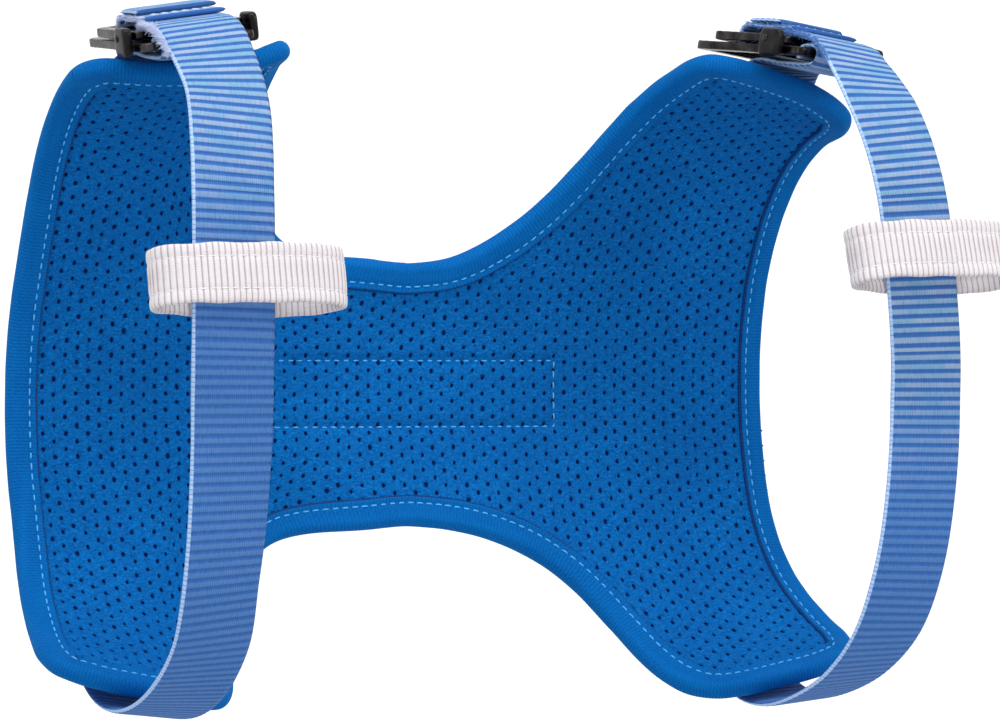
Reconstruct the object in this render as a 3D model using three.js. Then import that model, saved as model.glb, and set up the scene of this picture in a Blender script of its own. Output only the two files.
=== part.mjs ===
// A child's chest harness: a padded H-shaped back panel with two adjustable webbing shoulder loops,
// two double-back buckles and two white textile chest rings.
// Units are millimetres. +X is across the back, +Y points away from the wearer's back and +Z is up.
// The origin is the centre of the outer face of the flat strip sewn across the back.

import * as THREE from 'three';
import { mergeVertices } from 'three/addons/utils/BufferGeometryUtils.js';

// ---- driving dimensions ----
const GAP = 0.3; // clearance between pieces that touch
const SEAM_GAP = 0.8; // between webbing and the curved panel it is sewn to
const WEBBING_WIDTH = 25;
const WEBBING_THICKNESS = 1.4;

const SHELL_THICKNESS = 0.8;
const FOAM_THICKNESS = 2.8;
const LINING_THICKNESS = 0.8;
const PANEL_THICKNESS = SHELL_THICKNESS + FOAM_THICKNESS + LINING_THICKNESS + 2 * GAP;

const BINDING_WIDTH = 8; // how far the folded edge tape reaches onto each face
const BINDING_THICKNESS = 0.8;
const BINDING_GAP = 1.2; // room between the tape and the faces it covers
const RIM_SQUEEZE = 0.68; // the layers are pressed to this share of their thickness at the rim

const HALF_WIDTH = 126.8; // centre line to outer edge at the bottom corners
const TOP_TAPER = 3; // the outer edges stand this much closer to the centre line at the top
const BACK_WEBBING = { across: 101, top: 100, bottom: -62, lapEnd: -42 }; // on the flat pattern
const ARM_MIDDLE = 98; // centre line to the middle of an arm
const WAIST_BULGE = 3; // the waist sits this far in front of the outer edges
const FLARE_UP = 0.04; // the arms stand this much further apart at their top ends
const FLARE_DOWN = 0.075; // and this much at their bottom ends
const WAIST_SPREAD = 1.0; // the outer edges bow out this much at the waist
const TOP_ENDS = { // slope of each top arm end, how far its corners curl up, and how far the outer one droops
  left: { roll: 0.02, curl: 7.7, droop: 2.4 },
  right: { roll: 0.185, curl: 0, droop: 5 },
};
const ROLL_DOWN = 0.2; // slope of a bottom arm end, outer side higher
const NOTCH_PULL = { // how the left half's notch edges are pulled: back, towards the waist and outwards
  top: { back: 8, towards: 9, out: 4 },
  bottom: { back: 6, towards: 4, out: 5 },
};
const ARM_HALF = 31; // half the width of an arm

const STRIP_LENGTH = 110; // flat strip across the back
const STRIP_TO_PANEL = 0.6; // room behind the strip for the curve of the panel

const RING_TAPE_WIDTH = 17; // white chest rings
const RING_TAPE_THICKNESS = 1.8;
const RING_WIDTH = 58;
const RING_DEPTH = 22;
const RING_FORWARD = 6; // ring centre in front of the webbing it hangs on
const RING_TILTS = { left: -0.2, right: -0.26 }; // front of each ring up
const RING_SHIFT = 1.3; // each ring hangs this far towards +X
const RING_HEIGHTS = { left: 32.3, right: 40 };

const PLATE_THICKNESS = 2.6; // buckle plates
const PLATE_HALF_WIDTH = 17;
const PLATE_WINDOW_HALF = 13.3;
const PLATE_CORNER = 3;

const MIDDLE_Y = -(WEBBING_THICKNESS + STRIP_TO_PANEL + PANEL_THICKNESS / 2);
const SIDES = [['left', -1], ['right', 1]];
const { smoothstep } = THREE.MathUtils;

// ---- materials ----
const material = (color, roughness, metalness = 0) =>
  new THREE.MeshStandardMaterial({ color, roughness, metalness });
const lining = material(0x0b64aa, 0.9);
const foam = material(0x1a4f86, 1);
const shell = material(0x0a5aa0, 0.85);
const binding = material(0x0f74bd, 0.8);
const webbing = material(0x4f86d2, 0.7);
const tape = material(0xe6e2e4, 0.8);
const steel = material(0x2a2b2e, 0.35, 0.9);
const thread = material(0x8fb4e6, 0.7);

// ---- shape of the panel ----
// Side profile at the middle of an arm, as [distance forward, height], from top end to bottom end.
const profile = new THREE.CatmullRomCurve3(
  [
    [72, 94], [57.5, 90.5], [41, 83], [26, 71.5], [15, 56], [3.5, 28],
    [0, 0], [4, -30], [14.5, -55], [27, -70], [42, -81.5], [60, -90],
  ].reverse().map(([forward, up]) => new THREE.Vector3(0, -forward, up)),
  false, 'centripetal');
profile.arcLengthDivisions = 400;
const profileLength = profile.getLength();

// Arc length from the bottom end of the profile to waist height, by halving the interval.
function lengthToWaist() {
  let low = 0;
  let high = 1;
  while (high - low > 1e-6) {
    const middle = (low + high) / 2;
    if (profile.getPointAt(middle).z < 0) low = middle;
    else high = middle;
  }
  return low * profileLength;
}
const waistLength = lengthToWaist();

// Middle surface of the panel: u is across the flat pattern, v is along it from the waist up.
function panelMiddle(u, v) {
  const end = smoothstep(Math.abs(v), 30, 115);
  const flare = (v > 0 ? FLARE_UP : FLARE_DOWN) * end;
  const top = u < 0 ? TOP_ENDS.left : TOP_ENDS.right;
  const roll = (v > 0 ? -top.roll : ROLL_DOWN) * end;
  const curl = (v > 0 ? top.curl : 0) * end;
  const droop = v > 0 ? top.droop * smoothstep(v, 88, 118) : 0;
  const atWaist = smoothstep(Math.abs(u), 86, HALF_WIDTH) * (1 - smoothstep(Math.abs(v), 20, 90));
  const point = profile.getPointAt(THREE.MathUtils.clamp((waistLength + v) / profileLength, 0, 1));
  point.x = u * (1 + flare) + Math.sign(u) * WAIST_SPREAD * atWaist;
  point.y += MIDDLE_Y + WAIST_BULGE * smoothstep(Math.abs(u), 54, HALF_WIDTH);
  const offMiddle = Math.max(Math.abs(point.x) - ARM_MIDDLE, -1.2 * ARM_HALF);
  point.z += roll * offMiddle + curl * (offMiddle / ARM_HALF) ** 2;
  point.z -= droop * (Math.max(offMiddle, 0) / ARM_HALF) ** 2;
  if (u < 0) {
    const pull = v > 0 ? NOTCH_PULL.top : NOTCH_PULL.bottom;
    const besideNotch = smoothstep(-u, 10, 40) * (1 - smoothstep(-u, 54, 88));
    const share = besideNotch * smoothstep(Math.abs(v), 12, 48);
    const fading = share * (1 - smoothstep(Math.abs(v), 70, 108));
    point.x -= pull.out * (v > 0 ? fading : share);
    point.y += pull.back * fading;
    point.z -= Math.sign(v) * pull.towards * fading;
  }
  return point;
}

// Outward normal of the middle surface, from its slopes.
function panelNormal(u, v) {
  const step = 0.5;
  const across = panelMiddle(u + step, v).sub(panelMiddle(u - step, v));
  const along = panelMiddle(u, v + step).sub(panelMiddle(u, v - step));
  return along.cross(across).normalize();
}

// A point of the panel, t above its middle surface towards the outside.
function panelPoint(u, v, t) {
  return panelMiddle(u, v).addScaledVector(panelNormal(u, v), t);
}

// Right half of the flat pattern's top and bottom edges, from the centre line to the outer edge.
const topEdge = new THREE.CatmullRomCurve3(
  [
    [0, 39], [15, 41], [29, 48], [41, 58], [50, 70], [56, 82.5], [59.5, 95], [62.5, 108], [64, 118],
    [67.5, 124], [75, 126], [96, 123], [110, 120], [HALF_WIDTH - TOP_TAPER - 4, 115.5],
    [HALF_WIDTH - TOP_TAPER, 106],
  ].map(([u, v]) => new THREE.Vector3(u, v, 0)), false, 'centripetal');
const bottomEdge = new THREE.CatmullRomCurve3(
  [
    [0, -39.5], [15, -41], [29, -44.5], [43, -51.5], [53, -61], [59, -73], [63, -86], [67.5, -97],
    [74, -104.5], [83, -107.5], [97, -108], [112, -107.5], [HALF_WIDTH - 3.5, -103], [HALF_WIDTH, -93],
  ].map(([u, v]) => new THREE.Vector3(u, v, 0)), false, 'centripetal');
const EDGE_STEPS = 15; // columns in half the panel

// One whole edge from left to right, with mirrored halves.
function wholeEdge(curve) {
  const half = curve.getSpacedPoints(EDGE_STEPS);
  const mirrored = half.slice(1).reverse().map((point) => new THREE.Vector3(-point.x, point.y, 0));
  return mirrored.concat(half);
}

const SIDE_STEPS = 16; // rows up the panel
const topPoints = wholeEdge(topEdge);
const bottomPoints = wholeEdge(bottomEdge);

// Where a row lies from the bottom edge (0) to the top edge (1): the outermost rows are one hem apart.
function rowPlace(b, length) {
  if (b === 0 || b === 1) return b;
  const hem = (BINDING_WIDTH + 1) / length;
  const firstRow = 1 / SIDE_STEPS;
  return THREE.MathUtils.mapLinear(b, firstRow, 1 - firstRow, hem, 1 - hem);
}

// The outline of the flat pattern, clockwise from the top left.
function outline() {
  const lastTop = topPoints.at(-1);
  const lastBottom = bottomPoints.at(-1);
  const rightSide = [];
  for (let row = SIDE_STEPS - 1; row > 0; row -= 1) {
    const place = rowPlace(row / SIDE_STEPS, lastBottom.distanceTo(lastTop));
    rightSide.push(lastBottom.clone().lerp(lastTop, place));
  }
  const leftSide = rightSide.map((point) => new THREE.Vector3(-point.x, point.y, 0)).reverse();
  return [...topPoints, ...rightSide, ...bottomPoints.slice().reverse(), ...leftSide];
}
const edgePoints = outline();

// A point set in from the outline, square to it.
function insetPoint(index, inset) {
  const count = edgePoints.length;
  const before = edgePoints[(index + count - 1) % count];
  const after = edgePoints[(index + 1) % count];
  const along = after.clone().sub(before).normalize();
  return edgePoints[index].clone().add(new THREE.Vector3(along.y, -along.x, 0).multiplyScalar(inset));
}

// How far a point of the flat pattern lies from its outline.
function distanceToEdge(point) {
  const nearest = new THREE.Vector3();
  const distances = edgePoints.map((start, index) => {
    const edge = new THREE.Line3(start, edgePoints[(index + 1) % edgePoints.length]);
    return edge.closestPointToPoint(point, true, nearest).distanceTo(point);
  });
  return Math.min(...distances);
}

// ---- building closed bodies ----
// Turns the triangles round when a body faces inwards, and finishes it as a mesh.
function closedMesh(name, geometry, itsMaterial) {
  const place = geometry.attributes.position;
  const index = geometry.index.array;
  const corner = [new THREE.Vector3(), new THREE.Vector3(), new THREE.Vector3()];
  let volume = 0;
  for (let start = 0; start < index.length; start += 3) {
    corner.forEach((point, offset) => point.fromBufferAttribute(place, index[start + offset]));
    volume += corner[0].dot(corner[1].clone().cross(corner[2]));
  }
  if (volume < 0) {
    for (let start = 0; start < index.length; start += 3) {
      [index[start], index[start + 1]] = [index[start + 1], index[start]];
    }
  }
  geometry.computeVertexNormals();
  const mesh = new THREE.Mesh(geometry, itsMaterial);
  mesh.name = name;
  return mesh;
}

// A slab of columns by rows, with a corner at place(a, b, c) for a and b from 0 to 1 over its face
// and c 0 or 1 through its thickness. Both faces are split along the same diagonals, so that slabs nest.
function slab(name, columns, rows, place, itsMaterial) {
  const positions = [];
  const index = [];
  const layerSize = (columns + 1) * (rows + 1);
  const corner = (column, row, layer) => layer * layerSize + row * (columns + 1) + column;
  for (const layer of [0, 1]) {
    for (let row = 0; row <= rows; row += 1) {
      for (let column = 0; column <= columns; column += 1) {
        positions.push(...place(column / columns, row / rows, layer).toArray());
      }
    }
  }
  const addWall = (a, b) => {
    index.push(a, b, b + layerSize, a, b + layerSize, a + layerSize);
  };
  for (let row = 0; row < rows; row += 1) {
    for (let column = 0; column < columns; column += 1) {
      const a = corner(column, row, 0);
      const b = corner(column + 1, row, 0);
      const c = corner(column + 1, row + 1, 0);
      const d = corner(column, row + 1, 0);
      index.push(a, c, b, a, d, c);
      index.push(...[a, b, c, a, c, d].map((vertex) => vertex + layerSize));
    }
    addWall(corner(columns, row, 0), corner(columns, row + 1, 0));
    addWall(corner(0, row + 1, 0), corner(0, row, 0));
  }
  for (let column = 0; column < columns; column += 1) {
    addWall(corner(column, 0, 0), corner(column + 1, 0, 0));
    addWall(corner(column + 1, rows, 0), corner(column, rows, 0));
  }
  const geometry = new THREE.BufferGeometry();
  geometry.setAttribute('position', new THREE.Float32BufferAttribute(positions, 3));
  geometry.setIndex(index);
  return closedMesh(name, geometry, itsMaterial);
}

// An H-shaped layer of the panel between two heights above its middle surface, pressed thin at the rim.
function panelLayer(name, low, high, itsMaterial) {
  const inset = BINDING_THICKNESS + GAP;
  const columns = topPoints.length - 1;
  const bottomStart = topPoints.length + SIDE_STEPS - 1;
  const place = (a, b, c) => {
    const column = Math.round(a * columns);
    const top = insetPoint(column, inset);
    const bottom = insetPoint(bottomStart + columns - column, inset);
    const point = bottom.clone().lerp(top, rowPlace(b, bottom.distanceTo(top)));
    const share = Math.min((distanceToEdge(point) - inset) / (BINDING_WIDTH - inset), 1);
    const height = (c === 0 ? low : high) * THREE.MathUtils.lerp(RIM_SQUEEZE, 1, Math.max(share, 0));
    return panelPoint(point.x, point.y, height);
  };
  return slab(name, columns, SIDE_STEPS, place, itsMaterial);
}

// The edge tape, folded round the rim of the panel: a C-shaped section, as [inset, height], swept round.
function edgeBinding() {
  const innerAtHem = PANEL_THICKNESS / 2 + BINDING_GAP;
  const innerAtRim = RIM_SQUEEZE * PANEL_THICKNESS / 2 + BINDING_GAP;
  const section = [
    [BINDING_WIDTH, innerAtHem + BINDING_THICKNESS], [1.4, innerAtRim + BINDING_THICKNESS],
    [0, innerAtRim / 2], [0, -innerAtRim / 2],
    [1.4, -innerAtRim - BINDING_THICKNESS], [BINDING_WIDTH, -innerAtHem - BINDING_THICKNESS],
    [BINDING_WIDTH, -innerAtHem], [BINDING_THICKNESS, -innerAtRim],
    [BINDING_THICKNESS, innerAtRim], [BINDING_WIDTH, innerAtHem],
  ];
  const positions = [];
  const index = [];
  edgePoints.forEach((edge, along) => {
    const next = (along + 1) % edgePoints.length;
    section.forEach(([inset, height], corner) => {
      const flat = insetPoint(along, inset);
      positions.push(...panelPoint(flat.x, flat.y, height).toArray());
      const after = (corner + 1) % section.length;
      const a = along * section.length + corner;
      const b = along * section.length + after;
      const c = next * section.length + after;
      const d = next * section.length + corner;
      index.push(a, b, c, a, c, d);
    });
  });
  const geometry = new THREE.BufferGeometry();
  geometry.setAttribute('position', new THREE.Float32BufferAttribute(positions, 3));
  geometry.setIndex(index);
  return closedMesh('edge_binding', geometry, binding);
}

// A flat ribbon along stations, each with a centre, a direction across and a direction off its face.
function ribbon(name, stations, thickness, itsMaterial, width = WEBBING_WIDTH) {
  const last = stations.length - 1;
  const place = (a, b, c) => {
    const station = stations[Math.round(b * last)];
    return station.centre.clone()
      .addScaledVector(station.across, (a - 0.5) * width)
      .addScaledVector(station.off, (c - 0.5) * thickness);
  };
  return slab(name, 1, last, place, itsMaterial);
}

// Stations along a smooth curve through knots, each with a point and a direction across.
function stationsAlong(knots, count) {
  const curve = new THREE.CatmullRomCurve3(knots.map((knot) => knot.point), false, 'centripetal');
  const stations = [];
  for (let i = 0; i <= count; i += 1) {
    const t = curve.getUtoTmapping(i / count);
    const place = t * (knots.length - 1);
    const lower = Math.min(Math.floor(place), knots.length - 2);
    const tangent = curve.getTangent(t);
    const across = knots[lower].across.clone().lerp(knots[lower + 1].across, place - lower);
    across.addScaledVector(tangent, -across.dot(tangent)).normalize();
    stations.push({ centre: curve.getPoint(t), across, off: tangent.clone().cross(across).normalize() });
  }
  return stations;
}

// ---- the panel's own webbing routes ----
// A knot on the panel's outer side, t above its middle surface.
function panelKnot(side, v, t) {
  const u = side * BACK_WEBBING.across;
  return { point: panelPoint(u, v, t), across: panelPoint(u + 1, v, t).sub(panelPoint(u - 1, v, t)) };
}
const ON_SHELL = PANEL_THICKNESS / 2 + SEAM_GAP + WEBBING_THICKNESS / 2;
const ON_BINDING = ON_SHELL + BINDING_GAP + BINDING_THICKNESS + GAP;
const ON_WEBBING = ON_SHELL + WEBBING_THICKNESS + GAP;

// ---- the buckles ----
// Each buckle has its own frame: x across the webbing, y towards the rear, z off the plates.
// Its origin is the axis on which the upper plate tips.
const BUCKLE = { across: 104.9, forward: 76.5, splay: 0.138, pitch: 0.07, roll: 0.14 };
const BUCKLE_HEIGHTS = { left: 103.9, right: 102.4 };
const UPPER_PLATE = { rear: -32.5, front: 2, centre: 0, windows: [[-28.5, -23.2], [-19.8, -2.5]] };
const LOWER_PLATE = { rear: -40.5, front: 10.5, centre: -3.2, windows: [[-36.5, -8.5], [-4.5, 6.5]] };
const CROSSBAR = { forward: -21.5, up: 0.6, turn: 3.6 }; // the bar the webbing turns round

function buckleFrame(name, side) {
  const frame = new THREE.Group();
  frame.position.set(side * BUCKLE.across, -BUCKLE.forward, BUCKLE_HEIGHTS[name]);
  frame.rotation.set(BUCKLE.pitch, side * BUCKLE.roll, side * BUCKLE.splay, 'ZYX');
  frame.updateMatrixWorld(true);
  return frame;
}

// Knots along a route in one buckle's frame, given as [forward, off the plates].
function buckleKnots(frame, route) {
  return route.map(([forward, off]) => ({
    point: new THREE.Vector3(0, -forward, off).applyMatrix4(frame.matrixWorld),
    across: new THREE.Vector3(1, 0, 0).transformDirection(frame.matrixWorld),
  }));
}

// A plate with rounded corners and square windows.
function bucklePlate(name, { rear, front, centre, windows }) {
  const half = PLATE_HALF_WIDTH;
  const corner = PLATE_CORNER;
  const shape = new THREE.Shape();
  shape.moveTo(-half + corner, -front);
  shape.lineTo(half - corner, -front);
  shape.quadraticCurveTo(half, -front, half, -front + corner);
  shape.lineTo(half, -rear - corner);
  shape.quadraticCurveTo(half, -rear, half - corner, -rear);
  shape.lineTo(-half + corner, -rear);
  shape.quadraticCurveTo(-half, -rear, -half, -rear - corner);
  shape.lineTo(-half, -front + corner);
  shape.quadraticCurveTo(-half, -front, -half + corner, -front);
  for (const [low, high] of windows) {
    const hole = new THREE.Path();
    hole.moveTo(-PLATE_WINDOW_HALF, -high);
    hole.lineTo(-PLATE_WINDOW_HALF, -low);
    hole.lineTo(PLATE_WINDOW_HALF, -low);
    hole.lineTo(PLATE_WINDOW_HALF, -high);
    hole.closePath();
    shape.holes.push(hole);
  }
  const solid = new THREE.ExtrudeGeometry(
    shape, { depth: PLATE_THICKNESS, bevelEnabled: false, curveSegments: 3 });
  solid.translate(0, 0, centre - PLATE_THICKNESS / 2);
  solid.deleteAttribute('normal');
  solid.deleteAttribute('uv');
  return closedMesh(name, mergeVertices(solid, 1e-4), steel);
}

// Webbing that tips with the upper plate: in over its front bar, round the crossbar, and out on top.
function tailKnots(frame) {
  const route = [[-1.1, 2.45], [-3, 2.3], [-7, 0.8], [-12, -1.8], [-17, -3]];
  const turns = 5;
  for (let step = 0; step <= turns; step += 1) {
    const angle = -Math.PI / 2 - (step / turns) * Math.PI;
    route.push([
      CROSSBAR.forward + CROSSBAR.turn * Math.cos(angle),
      CROSSBAR.up + CROSSBAR.turn * Math.sin(angle),
    ]);
  }
  route.push([-15, 3.9], [-8, 4], [-0.6, 4.1]);
  return buckleKnots(frame, route);
}

// Front loop: off the buckle, down the chest, under the bottom arm and onto the panel's outer side.
const FRONT_LOOP = [ // [across, forward, up]
  [107.1, 105.5, 86], [109.2, 113.5, 71], [110.8, 117.7, 56.5], [112.8, 121.6, 13], [112.9, 121.4, -2],
  [112.4, 119, -31], [111.4, 113, -54], [110, 104, -70], [108.5, 89, -82], [106.5, 69, -89.5],
  [106, 54, -91], [105.5, 43, -88.7], [105, 33, -82.6],
];
const LOWER_LOOPS = { // twist of each loop's lower front, and how far back it sits there
  left: { twist: 0.17, back: 2 },
  right: { twist: 0, back: 0 },
};
const UNDER_ROLL = 0.1; // slope of each loop under its arm, outer side higher
const FRONT_YAW = 0.07; // the front of each loop faces this far outwards
const FRONT_LOOP_START = [[0.4, 2.35], [5, 2.1], [10.5, 0.9], [16, -2.6]];

function frontLoopKnots(name, side, frame) {
  const { twist, back } = LOWER_LOOPS[name];
  const chest = FRONT_LOOP.map(([across, forward, up]) => {
    const lower = smoothstep(-up, 0, 60);
    const roll = side * UNDER_ROLL * smoothstep(-up, 50, 90);
    return {
      point: new THREE.Vector3(side * across, back * lower - forward, up),
      across: new THREE.Vector3(1, side * (FRONT_YAW - twist * lower), roll),
    };
  });
  const lap = [[-75, 1.5], [-66, 0.4], [-58, 0], [BACK_WEBBING.lapEnd, 0]].map(([v, lift]) =>
    panelKnot(side, v, ON_WEBBING + lift));
  return [...buckleKnots(frame, FRONT_LOOP_START), ...chest, ...lap];
}

// The middle of a front loop where it comes down the chest past a height.
function chestPoint(stations, height) {
  const after = stations.findIndex((station, place) => place > 8 && station.centre.z < height);
  const above = stations[after - 1].centre;
  const below = stations[after].centre;
  return above.clone().lerp(below, (above.z - height) / (above.z - below.z));
}

// Back webbing: up the panel's outer side, over the binding, and round the front bar of the lower plate.
const TAB_LOOP = [ // [forward, off the plates]
  [-17, -6.5], [-4, -6.6], [7, -6.7], [11.6, -6], [13, -3.4], [11.6, -1.2], [8.4, -0.8], [5.4, -1.4],
  [4.5, -3.3], [4.1, -4.9],
];

function backWebbingKnots(side, frame) {
  const seam = [BACK_WEBBING.bottom, -40, -15, 10, 35, 60, 78].map((v) => panelKnot(side, v, ON_SHELL));
  return [...seam, panelKnot(side, BACK_WEBBING.top, ON_BINDING), ...buckleKnots(frame, TAB_LOOP)];
}

// ---- chest rings ----
// A flattened ring of tape: a superellipse with squarer ends than an ellipse.
function ringCurve(halfWidth, halfDepth) {
  const squareness = 2.5;
  const count = 32;
  const points = [];
  for (let step = 0; step < count; step += 1) {
    const angle = (step / count) * 2 * Math.PI;
    const bend = (value) => Math.sign(value) * Math.abs(value) ** (2 / squareness);
    points.push(new THREE.Vector2(halfWidth * bend(Math.cos(angle)), halfDepth * bend(Math.sin(angle))));
  }
  return points;
}

function chestRing(name) {
  const shape = new THREE.Shape(ringCurve(RING_WIDTH / 2, RING_DEPTH / 2));
  shape.holes.push(new THREE.Path(
    ringCurve(RING_WIDTH / 2 - RING_TAPE_THICKNESS, RING_DEPTH / 2 - RING_TAPE_THICKNESS)));
  const solid = new THREE.ExtrudeGeometry(shape, { depth: RING_TAPE_WIDTH, bevelEnabled: false });
  solid.translate(0, 0, -RING_TAPE_WIDTH / 2);
  solid.deleteAttribute('normal');
  solid.deleteAttribute('uv');
  return closedMesh(name, mergeVertices(solid, 1e-4), tape);
}

// ---- small pieces ----
const TACK = { length: 20, width: 3.2, thickness: 0.6 };

// A bar tack of thread, lying on webbing whose middle is t above the panel.
function barTack(name, side, v, t) {
  const height = t + WEBBING_THICKNESS / 2 + GAP;
  const place = (a, b, c) => panelPoint(
    side * BACK_WEBBING.across + (a - 0.5) * TACK.length, v + (b - 0.5) * TACK.width,
    height + c * TACK.thickness);
  return slab(name, 2, 1, place, thread);
}

function backStrip() {
  const place = (a, b, c) => new THREE.Vector3(
    (a - 0.5) * STRIP_LENGTH, (c - 1) * WEBBING_THICKNESS, (b - 0.5) * WEBBING_WIDTH);
  return slab('back_strip', 4, 1, place, webbing);
}

// ---- assembly ----
const harness = new THREE.Group();
const outside = PANEL_THICKNESS / 2;
harness.add(
  panelLayer('outer_shell', outside - SHELL_THICKNESS, outside, shell),
  panelLayer('foam_pad', -FOAM_THICKNESS / 2, FOAM_THICKNESS / 2, foam),
  panelLayer('mesh_lining', -outside, LINING_THICKNESS - outside, lining),
  edgeBinding(),
  backStrip());

for (const [name, side] of SIDES) {
  const frame = buckleFrame(name, side);
  frame.add(
    bucklePlate(`buckle_frame_${name}`, LOWER_PLATE),
    bucklePlate(`locking_plate_${name}`, UPPER_PLATE));
  const frontStations = stationsAlong(frontLoopKnots(name, side, frame), 64);
  const backStations = stationsAlong(backWebbingKnots(side, frame), 52);
  const ring = new THREE.Group();
  ring.position.copy(chestPoint(frontStations, RING_HEIGHTS[name]));
  ring.position.x += RING_SHIFT;
  ring.position.y -= RING_FORWARD;
  ring.rotation.set(RING_TILTS[name], 0, side * FRONT_YAW, 'ZYX');
  ring.add(chestRing(`chest_ring_${name}`));
  harness.add(
    frame,
    ring,
    ribbon(`shoulder_strap_${name}`, frontStations, WEBBING_THICKNESS, webbing),
    ribbon(`strap_tail_${name}`, stationsAlong(tailKnots(frame), 30), WEBBING_THICKNESS, webbing),
    ribbon(`back_webbing_${name}`, backStations, WEBBING_THICKNESS, webbing),
    barTack(`lower_bar_tack_${name}`, side, -54, ON_WEBBING),
    barTack(`upper_bar_tack_${name}`, side, 66, ON_SHELL));
}

export default harness;
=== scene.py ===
"""A child's chest harness: a padded H-shaped back panel with two webbing shoulder loops, two double-back
buckles and two white chest rings. Shapes are worked out in millimetres from the CAD model's dimensions
and are turned into metres when a mesh is made. +X is across the back, +Y away from the wearer, +Z up."""

import math

import bmesh
import bpy
import numpy as np
from mathutils import Euler, Matrix, Vector


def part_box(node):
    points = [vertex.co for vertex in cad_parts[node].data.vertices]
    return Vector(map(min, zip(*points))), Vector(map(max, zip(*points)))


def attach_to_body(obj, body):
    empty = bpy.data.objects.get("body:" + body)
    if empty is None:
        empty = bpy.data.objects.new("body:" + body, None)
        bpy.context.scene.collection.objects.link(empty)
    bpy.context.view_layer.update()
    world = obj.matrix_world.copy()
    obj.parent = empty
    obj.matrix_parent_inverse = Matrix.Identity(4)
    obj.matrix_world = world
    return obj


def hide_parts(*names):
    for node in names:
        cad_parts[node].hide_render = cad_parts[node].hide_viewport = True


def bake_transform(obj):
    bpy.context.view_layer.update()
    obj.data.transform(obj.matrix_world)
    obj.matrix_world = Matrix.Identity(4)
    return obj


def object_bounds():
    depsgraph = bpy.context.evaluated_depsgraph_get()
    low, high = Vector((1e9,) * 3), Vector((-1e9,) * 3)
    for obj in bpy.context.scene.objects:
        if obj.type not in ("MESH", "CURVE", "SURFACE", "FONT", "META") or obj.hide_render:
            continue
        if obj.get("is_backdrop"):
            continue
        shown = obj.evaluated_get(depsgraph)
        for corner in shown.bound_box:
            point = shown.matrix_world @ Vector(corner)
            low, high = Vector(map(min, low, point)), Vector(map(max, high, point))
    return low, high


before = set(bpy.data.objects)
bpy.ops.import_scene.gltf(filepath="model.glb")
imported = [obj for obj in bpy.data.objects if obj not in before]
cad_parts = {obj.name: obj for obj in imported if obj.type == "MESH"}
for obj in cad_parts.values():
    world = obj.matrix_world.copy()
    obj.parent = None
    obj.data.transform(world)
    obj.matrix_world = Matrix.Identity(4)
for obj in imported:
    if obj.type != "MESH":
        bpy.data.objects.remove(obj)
cad_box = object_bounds()

MM = 0.001
SIDES = {"left": -1, "right": 1}
HARNESS = "harness"

# ---- dimensions shared with the CAD model, in mm ----
WEBBING_WIDTH = 25
WEBBING_THICKNESS = 1.4
PANEL_THICKNESS = 5.0
SKIN = 0.8  # thickness of the lining and of the shell
BINDING_WIDTH = 8
BINDING_THICKNESS = 0.8
RIM_SQUEEZE = 0.68
SEAM_GAP = 0.8
HALF_WIDTH = 126.8
TOP_TAPER = 3
WEBBING_ACROSS = 101
SEAM_TOP = 100
SEAM_BOTTOM = -62
LAP_END = -42
ARM_MIDDLE = 98
ARM_HALF = 31
WAIST_BULGE = 3
FLARE_UP = 0.04
FLARE_DOWN = 0.075
WAIST_SPREAD = 1.0
TOP_ENDS = {"left": (0.02, 7.7, 2.4), "right": (0.185, 0, 5)}  # roll, curl and droop of each top arm end
ROLL_DOWN = 0.2
NOTCH_PULL = {"top": (8, 9, 4), "bottom": (6, 4, 5)}  # back, towards the waist and outwards
STRIP_LENGTH = 110
STRIP_TO_PANEL = 0.6
MIDDLE_Y = -(WEBBING_THICKNESS + STRIP_TO_PANEL + PANEL_THICKNESS / 2)
RING_TAPE_WIDTH = 17
RING_TAPE_THICKNESS = 1.8
RING_WIDTH = 58
RING_DEPTH = 22
RING_TILTS = {"left": -0.2, "right": -0.26}
FRONT_YAW = 0.07
BUCKLE_PLACE = (104.9, -76.5)
BUCKLE_HEIGHTS = {"left": 103.9, "right": 102.4}
BUCKLE_TURN = (0.07, 0.14, 0.138)  # pitch, roll and splay

PROFILE = [  # side view of the panel as (forward, up), from its bottom end to its top end
    (60, -90), (42, -81.5), (27, -70), (14.5, -55), (4, -30), (0, 0),
    (3.5, 28), (15, 56), (26, 71.5), (41, 83), (57.5, 90.5), (72, 94),
]
TOP_EDGE = [  # right half of the flat pattern's top edge, from the centre line out
    (0, 39), (15, 41), (29, 48), (41, 58), (50, 70), (56, 82.5), (59.5, 95), (62.5, 108), (64, 118),
    (67.5, 124), (75, 126), (96, 123), (110, 120), (HALF_WIDTH - TOP_TAPER - 4, 115.5),
    (HALF_WIDTH - TOP_TAPER, 106),
]
BOTTOM_EDGE = [
    (0, -39.5), (15, -41), (29, -44.5), (43, -51.5), (53, -61), (59, -73), (63, -86), (67.5, -97),
    (74, -104.5), (83, -107.5), (97, -108), (112, -107.5), (HALF_WIDTH - 3.5, -103), (HALF_WIDTH, -93),
]
FRONT_LOOP = [  # (across, forward, up)
    (107.1, 105.5, 86), (109.2, 113.5, 71), (110.8, 117.7, 56.5), (112.8, 121.6, 13), (112.9, 121.4, -2),
    (112.4, 119, -31), (111.4, 113, -54), (110, 104, -70), (108.5, 89, -82), (106.5, 69, -89.5),
    (106, 54, -91), (105.5, 43, -88.7), (105, 33, -82.6),
]
LOWER_LOOPS = {"left": (0.17, 2), "right": (0, 0)}  # twist and set-back of each loop's lower front
UNDER_ROLL = 0.1
TAIL_ROUTE = [(-1.1, 2.45), (-3, 2.3), (-7, 0.8), (-12, -1.8), (-17, -3)]  # (forward, off the plates)
TAIL_TOP = [(-15, 3.9), (-8, 4), (-0.6, 4.1)]
CROSSBAR = (-21.5, 0.6)
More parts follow.
